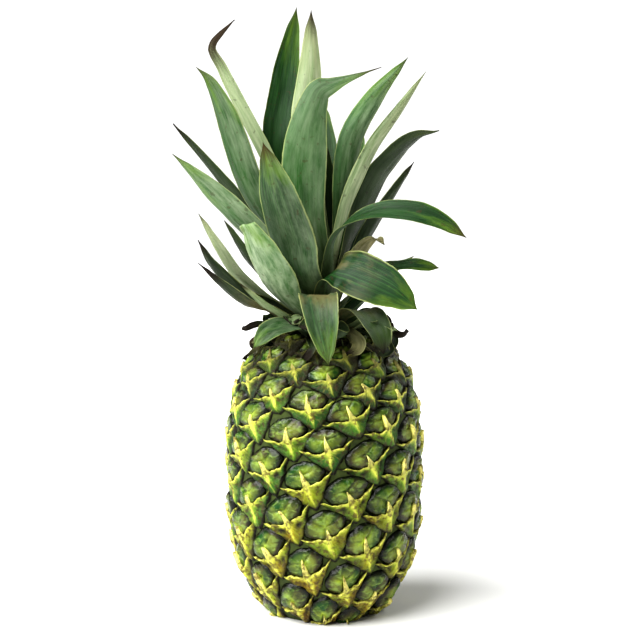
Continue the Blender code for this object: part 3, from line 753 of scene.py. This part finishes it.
def bract_material():
    """Fleshy fruitlet bract: cream at its needle, rim and keel, green to ochre between, with fibres fanning out."""
    made, add = new_material("fleshy bract")
    pale, tint, up_side, relief, fan, reach = (
        reading(add, label) for label in ("pale", "tint", "up_side", "relief", "fan", "reach")
    )
    spot = add("ShaderNodeTexCoord").outputs["Object"]
    blotch = add(NOISE, {"Vector": spot, "Scale": 70.0, "Detail": 5.0})
    # Fibres run out from the needle's foot along the arms and down the leg.
    rates = ((fan, 13.0), (reach, 0.14), (tint, 40.0))
    rays = add("ShaderNodeCombineXYZ", [add(MATH, pair, operation="MULTIPLY") for pair in rates])
    fibre = add(NOISE, {"Vector": rays, "Scale": 1.4, "Detail": 4.0, "Roughness": 0.7})
    # Ripeness climbs from the base: ochre below, green above.
    ripe = up_side
    for value, weight in ((blotch, 1.1), (tint, 0.45), (fibre, 0.5)):
        ripe = add(MATH, [value, weight, ripe], operation="MULTIPLY_ADD")
    skin = add("ShaderNodeValToRGB", [add(RANGE, [ripe, 0.7, 2.0])])
    ramp = skin.color_ramp.elements
    ramp[0].color, ramp[1].color = colour("#6A4A12"), colour("#12480C")
    for position, shade in ((0.2, "#A0860E"), (0.4, "#98A010"), (0.6, "#6C9A1A"), (0.8, "#3A7C10")):
        ramp.new(position).color = colour(shade)
    streaked = add(MATH, [fibre, 0.9, pale], operation="MULTIPLY_ADD")
    bright = add(RANGE, [streaked, 0.55, 1.05, 0.0, 0.9])
    tip = add(RANGE, [streaked, 1.1, 1.5])
    # Scars: small corky flecks, thicker towards the base.
    fleck = add(NOISE, {"Vector": spot, "Scale": 380.0, "Detail": 5.0})
    fleck = add(MATH, [up_side, -0.08, fleck], operation="MULTIPLY_ADD")
    fleck = add(RANGE, [fleck, 0.46, 0.58, 0.0, 0.8])
    # Painted shade: the seam between fruitlets, where the relief is low, is darkened.
    painted_seam_shade = add(RANGE, [relief, 0.0019, 0.0001])
    # Bracts next to the crown have withered.
    aged = add(MATH, [blotch, 0.14, up_side], operation="MULTIPLY_ADD")
    aged = add(RANGE, [aged, 0.86, 1.0, 0.0, 0.85])
    for mask, coat in (
        (bright, "#ECEE62"), (tip, "#F2E884"), (fleck, "#5C4420"), (painted_seam_shade, "#1A1608"), (aged, "#35301C")
    ):
        skin = add(MIX, {0: mask, 6: skin, 7: colour(coat)}, data_type="RGBA")
    grain = add(NOISE, {"Vector": spot, "Scale": 650.0, "Detail": 4.0})
    rough = add(MATH, [fibre, 1.6, grain], operation="MULTIPLY_ADD")
    bump = add("ShaderNodeBump", {"Strength": 0.9, "Distance": 0.0011, "Height": rough})
    finish_material(
        add, {"Base Color": skin, "Roughness": 0.38, "Normal": bump, "IOR": 1.45, "Specular IOR Level": 0.35}
    )
    return made


def eye_material():
    """Eye of the fruitlet: three leathery sepals, dark green to grey-brown under a pale wax with a painted sheen, and
    painted shade in their creases and at the rim.
    """
    made, add = new_material("waxy sepal")
    facet, edge, tint, crease = (reading(add, label) for label in ("facet", "edge", "tint", "crease"))
    spot = add("ShaderNodeTexCoord").outputs["Object"]
    blotch = add(NOISE, {"Vector": spot, "Scale": 120.0, "Detail": 5.0})
    # Each sepal has a tone of its own.
    pick = add(MATH, [facet, 0.53, tint], operation="MULTIPLY_ADD")
    pick = add(MATH, [blotch, 1.4, add(MATH, [pick], operation="FRACT")], operation="MULTIPLY_ADD")
    skin = add(MIX, {0: add(RANGE, [pick, 0.6, 1.5]), 6: colour("#10400C"), 7: colour("#38301C")}, data_type="RGBA")
    # Fine creases fan across each sepal.
    wrinkle = add(MAPPING, {0: spot, 3: (240.0, 240.0, 360.0)})
    wrinkle = add(NOISE, {"Vector": wrinkle, "Scale": 1.0, "Detail": 5.0, "Distortion": 0.6})
    heart = add(RANGE, [edge, 0.0, 0.7, 1.0, 0.0])
    heart = add(MATH, [heart, add(RANGE, [blotch, 0.35, 0.65])], operation="MULTIPLY")
    # Paler green along the wrinkles: partly wax bloom, partly a painted sheen.
    wax_and_painted_sheen = add(RANGE, [wrinkle, 0.5, 0.64, 0.0, 0.45])
    # Painted shade: the creases where the sepals meet and the groove at the rim are darkened.
    rim = add(RANGE, [edge, 0.6, 0.82])
    for mask, coat in ((heart, "#A4BC40"), (wax_and_painted_sheen, "#86A24C"), (crease, "#1A1A08"), (rim, "#0C1006")):
        skin = add(MIX, {0: mask, 6: skin, 7: colour(coat)}, data_type="RGBA")
    rough = add(MATH, [blotch, 1.2, wrinkle], operation="MULTIPLY_ADD")
    bump = add("ShaderNodeBump", {"Strength": 0.7, "Distance": 0.0014, "Height": rough})
    finish_material(
        add, {"Base Color": skin, "Roughness": 0.22, "Normal": bump, "IOR": 1.5, "Specular IOR Level": 0.25}
    )
    return made


def rind_material():
    """Corky tissue between fruitlets, darkened nearly to black as painted shade in the grooves, and the dry cut face of
    the stalk under the base.
    """
    made, add = new_material("corky rind")
    spot = add("ShaderNodeTexCoord").outputs["Object"]
    x, y, z = add("ShaderNodeSeparateXYZ", [spot]).outputs
    grain = add(NOISE, {"Vector": spot, "Scale": 300.0, "Detail": 6.0})
    fibre = add("ShaderNodeTexVoronoi", {"Vector": spot, "Scale": 900.0})
    out = add("ShaderNodeVectorMath", [add("ShaderNodeCombineXYZ", [x, y])], operation="LENGTH")
    cut = add(MATH, [add(RANGE, [z, 0.004, 0.002]), add(RANGE, [out, 0.0145, 0.013])], operation="MULTIPLY")
    # The cork runs to near black: painted shade in the grooves between fruitlets.
    cork_and_groove_shade, pith = (
        add(MIX, {0: mask, 6: colour(dark), 7: colour(light)}, data_type="RGBA")
        for mask, dark, light in ((grain, "#0C1208", "#48580F"), (fibre, "#8C6E40", "#D8C48C"))
    )
    skin = add(MIX, {0: cut, 6: cork_and_groove_shade, 7: pith}, data_type="RGBA")
    bump = add("ShaderNodeBump", {"Strength": 0.5, "Distance": 0.001, "Height": grain})
    finish_material(add, {"Base Color": skin, "Roughness": 0.85, "Normal": bump})
    return made


def stem_material():
    """Pale fibrous stem inside the crown."""
    made, add = new_material("fibrous stem")
    long = add(MAPPING, {0: add("ShaderNodeTexCoord").outputs["Object"], 3: (700.0, 700.0, 60.0)})
    grain = add(NOISE, {"Vector": long, "Scale": 1.0, "Detail": 4.0})
    skin = add(MIX, {0: grain, 6: colour("#7E8452"), 7: colour("#C8C690")}, data_type="RGBA")
    bump = add("ShaderNodeBump", {"Strength": 0.4, "Distance": 0.0008, "Height": grain})
    finish_material(add, {"Base Color": skin, "Roughness": 0.7, "Normal": bump})
    return made


def leaf_finish(slot):
    """The leaf material for a slot, made once."""
    looks = {
        "green_leaf": ("green leaf skin", "#0A2C08", "#2C5A20", "#3E7030", "#6E8C22", "#3A2A12", "#A8B896", 0.42),
        "pale_leaf": ("scurfy leaf skin", "#3E5A2A", "#7A8E60", "#98A880", "#8C8E62", "#2E2416", "#C0C4A4", 0.5),
        "dark_leaf": ("shaded leaf skin", "#0A1806", "#243A14", "#344A22", "#3E4A1A", "#1E1810", "#6A755C", 0.36),
        "dry_leaf": ("withered leaf", "#0C0E06", "#565A34", "#8A8450", "#9A9060", "#1E180E", "#B8B08C", 0.75),
    }
    return bpy.data.materials.get(looks[slot][0]) or leaf_material(*looks[slot])


# ---------------------------------------------------------------- settings and operators


class PineappleFruitSettings(bpy.types.PropertyGroup):
    """Sizes of the fruit and its spiral of fruitlets."""

    girth_radius: bpy.props.FloatProperty(
        name="Girth radius", description="Mean radius at the widest", default=0.0565, **LENGTH
    )
    fruitlets: bpy.props.IntProperty(name="Fruitlets", description="Fruitlets on the spiral", default=130, min=20)
    divergence: bpy.props.FloatProperty(
        name="Divergence", description="Turn from one fruitlet to the next", default=math.radians(139.37), **ANGLE
    )
    phase: bpy.props.FloatProperty(
        name="Phase", description="Azimuth of the spiral's start", default=math.radians(-57.1), **ANGLE
    )
    twist: bpy.props.FloatProperty(
        name="Twist", description="Turn of each fruitlet on the rind", default=math.radians(20.0), **ANGLE
    )
    spine: bpy.props.FloatProperty(name="Spine", description="Length of a bract's spine", default=0.0095, **LENGTH)
    seed: bpy.props.IntProperty(name="Seed", description="Seed of the fruitlets' variation", default=4)


class PineappleCrownSettings(bpy.types.PropertyGroup):
    """Sizes of the crown's leaves."""

    thickness: bpy.props.FloatProperty(
        name="Thickness", description="Blade thickness at its middle", default=0.0018, **LENGTH
    )
    ripple: bpy.props.FloatProperty(name="Ripple", description="How far a blade waves", default=0.0022, **LENGTH)
    fray: bpy.props.FloatProperty(name="Fray", description="Unevenness of the margins", default=0.10, min=0.0)
    neck_scales: bpy.props.IntProperty(name="Neck scales", description="Scales in each clump", default=8, min=1)
    neck_seed: bpy.props.IntProperty(name="Neck seed", description="Seed of the neck scales", default=12)
    back_green: bpy.props.FloatProperty(name="Back tint", description="Tint of the back leaves", default=0.4)


class PineappleStageSettings(bpy.types.PropertyGroup):
    """Camera, floor and light."""

    floor: bpy.props.FloatVectorProperty(
        name="Floor", description="Colour of the floor", default=colour("#EEEEEC"), size=4, subtype="COLOR"
    )
    key: bpy.props.FloatProperty(name="Key light", description="Strength of the key light", default=6.9)
    fill: bpy.props.FloatProperty(name="Fill light", description="Strength of the surrounding light", default=0.22)
    lens: bpy.props.FloatProperty(name="Lens", description="Focal length", default=75.66, unit="CAMERA")


class MESH_OT_pineapple_rind(bpy.types.Operator):
    """Turn the corky body under the fruitlets, with its cut base"""

    bl_idname = "mesh.pineapple_rind"
    bl_label = "Rind"

    def execute(self, context):
        points = barrel_profile()[0]
        rings = [(r - (RIND_INSET if h > 0.0015 else 0.0), h) for r, h in points if h < FRUIT_TALL]
        rings = [*STALK_DISC, *rings]
        sides = RIND_SIDES
        vertices = [
            (r * math.sin(math.tau * i / sides), -r * math.cos(math.tau * i / sides), max(h, 0.0))
            for r, h in rings[::3] + rings[-1:]
            for i in range(sides)
        ]
        rows = len(vertices) // sides
        vertices += [(0.0, 0.0, 0.0), (0.0, 0.0, rings[-1][1])]
        faces = []
        for i in range(sides):
            j = (i + 1) % sides
            faces.append((len(vertices) - 2, j, i))
            faces.append((len(vertices) - 1, (rows - 1) * sides + i, (rows - 1) * sides + j))
            for row in range(rows - 1):
                low, high = row * sides, (row + 1) * sides
                faces.append((low + i, low + j, high + j, high + i))
        piece = new_mesh("rind_body", vertices, [], faces)
        piece.data.shade_smooth()
        piece.data.materials.append(rind_material())
        place(piece, "rind", "fruit")
        return {"FINISHED"}


class MESH_OT_pineapple_fruitlets(bpy.types.Operator):
    """Set the eyes and their bracts on the spiral and wrap them round the barrel"""

    bl_idname = "mesh.pineapple_fruitlets"
    bl_label = "Fruitlets"

    def execute(self, context):
        fruit = context.scene.pineapple_fruit
        outline, under, side = barrel_outline()
        spiral = spiral_tree(wrap_tree())
        long = fruit.spine / MM
        bracts = [
            bract(f"bract_{i}", long * size, lean, arm, leg, fruit.twist, i)
            for i, (size, lean, arm, leg) in enumerate(BRACTS)
        ]
        eyes = [eye(f"eye_{i}", fruit.twist, high, i) for i, high in enumerate(EYE_HEIGHTS)]
        for name, kinds, finish in (("bracts", bracts, bract_material()), ("eyes", eyes, eye_material())):
            name = "fruitlet_" + name
            values = {
                "Fruitlets": kinds_of(name + "_kinds", kinds), "Outline": outline, "Count": fruit.fruitlets,
                "Divergence": fruit.divergence, "Phase": fruit.phase, "Girth": fruit.girth_radius, "Under": under,
                "Side length": side, "Seed": fruit.seed, "Finish": finish,
            }
            piece = grow(name, new_mesh(name + "_seat", [(0, 0, 0)], [], []), spiral, values)
            place(piece, "rind")
            for kind in kinds:
                bpy.data.objects.remove(kind, do_unlink=True)
        bpy.data.objects.remove(outline, do_unlink=True)
        return {"FINISHED"}


def grow_leaf(node_name, slot, path, widths, facing, channel, look, seed):
    """Sweeps one leaf and gives it its own look: tint, bloom, drying, painted light that makes one half of the bloom
    paler, and tan patches.
    """
    crown = bpy.context.scene.pineapple_crown
    tree = bpy.data.node_groups.get("leaf blade") or blade_tree()
    source = midrib(node_name + "_midrib", path, widths, *facing)
    values = {
        "Channel": channel, "Root channel": channel + 0.25, "Thickness": crown.thickness, "Ripple": crown.ripple,
        "Fray": crown.fray, "Seed": float(seed), "Finish": leaf_finish(slot),
    }
    piece = grow(node_name + "_blade", source, tree, values)
    count = len(piece.data.vertices)
    for label, value in zip(("tint", "bloom", "drying", "painted_light_split", "tan"), (*look, 0.0, 0.0)):
        layer = piece.data.attributes.new(label, "FLOAT", "POINT")
        layer.data.foreach_set("value", np.full(count, value, dtype=np.float32))
    return piece


class MESH_OT_pineapple_crown(bpy.types.Operator):
    """Grow the crown's leaves, those placed one by one and those of the back"""

    bl_idname = "mesh.pineapple_crown"
    bl_label = "Crown leaves"

    def execute(self, context):
        for number, leaf in enumerate(LEAVES):
            name, slot, azimuth, height, points, widths, face, roll, channel, look = leaf
            root = from_axis(azimuth, stem_radius(height) * ROOT_SHARE, height - ROOT_DROP)
            path = smooth_path([root, *map(Vector, points)], LEAF_ROWS)
            piece = grow_leaf(name, slot, path, widths, (azimuth, face, roll), channel, look, number)
            place(piece, slot, name)
        tint = context.scene.pineapple_crown.back_green
        for number, (name, azimuth, height, reach, rise, width) in enumerate(BACK_LEAVES):
            foot = stem_radius(height)
            bend = (foot + 0.45 * (reach - foot), height + 0.5 * (rise - height))
            stations = ((foot * ROOT_SHARE, height - ROOT_DROP), bend, (reach, rise))
            path = smooth_path([from_axis(azimuth, *station) for station in stations], LEAF_ROWS)
            widths = [width * share for share in (0.75, 0.85, 1.0, 0.78, 0.38)]
            look = (tint + 0.1 * math.sin(3.0 * number), 0.2 + 0.15 * math.cos(2.0 * number), 0.05)
            piece = grow_leaf(name, "green_leaf", path, widths, (azimuth, azimuth, 0), 0.35, look, 40 + number)
            place(piece, "green_leaf", name)
        return {"FINISHED"}


class MESH_OT_pineapple_neck(bpy.types.Operator):
    """Grow the withered scales between the crown and the fruit, a ragged clump at each neck bract"""

    bl_idname = "mesh.pineapple_neck"
    bl_label = "Neck scales"

    def execute(self, context):
        crown = context.scene.pineapple_crown
        rng = np.random.default_rng(crown.neck_seed)
        for number, azimuth in enumerate(NECK_BRACTS):
            scales = []
            for scale in range(crown.neck_scales):
                around = azimuth + rng.uniform(-22, 22)
                low, high = rng.uniform(2, 9), rng.uniform(-8, 16)
                reach = rng.uniform(30, 46) + (7 if azimuth in (-60, 62) else 0)
                curl = rng.uniform(-10, 7)
                stations = (
                    (around, 12, low),
                    (around + rng.uniform(-5, 5), 0.55 * reach + 6, low + 0.6 * (high - low) + 5),
                    (around + rng.uniform(-9, 9), reach, high),
                    (around + rng.uniform(-16, 16), reach + rng.uniform(-5, 4), high + curl),
                )
                path = smooth_path([from_axis(*station) for station in stations], SCALE_ROWS)
                widths = [rng.uniform(8, 14) * share for share in (0.9, 1.0, 0.9, 0.65, 0.35)]
                look = (rng.uniform(0, 1), rng.uniform(0, 0.6), rng.uniform(0, 0.5), rng.uniform(-1, 1))
                finish = ("dry_leaf", "dark_leaf", "pale_leaf", "dark_leaf")[int(rng.integers(4))]
                label, seed = f"neck_bract_{number + 1}_{scale + 1}", 80 + 10 * number + scale
                facing = (around, around + rng.uniform(-30, 30), rng.uniform(-40, 40))
                scales.append(grow_leaf(label, finish, path, widths, facing, 0.5, look, seed))
            with context.temp_override(active_object=scales[0], selected_editable_objects=scales):
                bpy.ops.object.join()
            scales[0].name = f"neck_scales_{number + 1}"
            place(scales[0], "dry_leaf", f"neck_bract_{number + 1}")
        return {"FINISHED"}


class MESH_OT_pineapple_stem(bpy.types.Operator):
    """Give the crown's stem its finish"""

    bl_idname = "mesh.pineapple_stem"
    bl_label = "Crown stem"

    def execute(self, context):
        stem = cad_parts["crown_stem"]
        stem.data.materials.clear()
        stem.data.materials.append(stem_material())
        return {"FINISHED"}


class SCENE_OT_pineapple_stage(bpy.types.Operator):
    """Lay the floor and set the lights and the camera"""

    bl_idname = "scene.pineapple_stage"
    bl_label = "Stage"

    def execute(self, context):
        stage = context.scene.pineapple_stage
        corners = [(x * FLOOR_REACH, y * FLOOR_REACH, 0) for x, y in ((-1, -1), (1, -1), (1, 1), (-1, 1))]
        floor = new_mesh("floor", corners, [], [(0, 1, 2, 3)])
        made, add = new_material("matt white sweep")
        finish_material(add, {"Base Color": tuple(stage.floor), "Roughness": 0.9})
        floor.data.materials.append(made)
        # The backdrop shows white while the light it gives stays softer than that.
        world = bpy.data.worlds.new("studio")
        world.use_nodes = True
        world.node_tree.nodes.clear()
        add = partial(node, world.node_tree)
        strength = add(RANGE, {0: add("ShaderNodeLightPath").outputs["Is Camera Ray"], 3: stage.fill, 4: 1.0})
        shade = add("ShaderNodeBackground", {"Color": colour("#FFFFFF"), "Strength": strength})
        add("ShaderNodeOutputWorld", [shade])
        context.scene.world = world
        for name, spot, power, spread in (
            ("key", (-0.95, -0.62, 1.25), stage.key, 60),
            ("rim", (0.9, 0.6, 0.8), stage.key * 0.12, 40),
        ):
            light = bpy.data.lights.new(name, "SUN")
            light.energy, light.angle = power, math.radians(spread)
            lamp = bpy.data.objects.new(name, light)
            lamp.location = spot
            lamp.rotation_euler = (-Vector(spot)).to_track_quat("-Z", "Y").to_euler()
            context.scene.collection.objects.link(lamp)
        lens = bpy.data.cameras.new("camera")
        lens.lens = stage.lens
        camera = bpy.data.objects.new("camera", lens)
        camera.location = CAMERA_PLACE
        aim = Vector(CAMERA_AIM) - camera.location
        camera.rotation_euler = aim.to_track_quat("-Z", "Y").to_euler()
        context.scene.collection.objects.link(camera)
        context.scene.camera = camera
        context.scene.view_settings.view_transform = "Standard"
        context.scene.view_settings.look = "Medium High Contrast"
        return {"FINISHED"}


class VIEW3D_PT_pineapple(bpy.types.Panel):
    """The pineapple's settings and steps"""

    bl_label = "Pineapple"
    bl_space_type = "VIEW_3D"
    bl_region_type = "UI"
    bl_category = "Pineapple"

    def draw(self, context):
        for label in SETTINGS:
            group, box = getattr(context.scene, label), self.layout.box()
            for name in group.bl_rna.properties.keys():
                if name not in ("rna_type", "name"):
                    box.prop(group, name)
        for step in STEPS:
            self.layout.operator(step.bl_idname)


SETTINGS = {
    "pineapple_fruit": PineappleFruitSettings,
    "pineapple_crown": PineappleCrownSettings,
    "pineapple_stage": PineappleStageSettings,
}
STEPS = (
    MESH_OT_pineapple_rind,
    MESH_OT_pineapple_fruitlets,
    MESH_OT_pineapple_crown,
    MESH_OT_pineapple_neck,
    MESH_OT_pineapple_stem,
    SCENE_OT_pineapple_stage,
)


def register():
    for item in (*SETTINGS.values(), *STEPS, VIEW3D_PT_pineapple):
        bpy.utils.register_class(item)
    for label, group in SETTINGS.items():
        setattr(bpy.types.Scene, label, bpy.props.PointerProperty(type=group))


def unregister():
    for label in SETTINGS:
        delattr(bpy.types.Scene, label)
    for item in (VIEW3D_PT_pineapple, *reversed(STEPS), *reversed(SETTINGS.values())):
        bpy.utils.unregister_class(item)


def main():
    register()
    bpy.ops.mesh.pineapple_rind()
    bpy.ops.mesh.pineapple_fruitlets()
    bpy.ops.mesh.pineapple_crown()
    bpy.ops.mesh.pineapple_neck()
    bpy.ops.mesh.pineapple_stem()
    bpy.ops.scene.pineapple_stage()


if __name__ == "__main__":
    main()
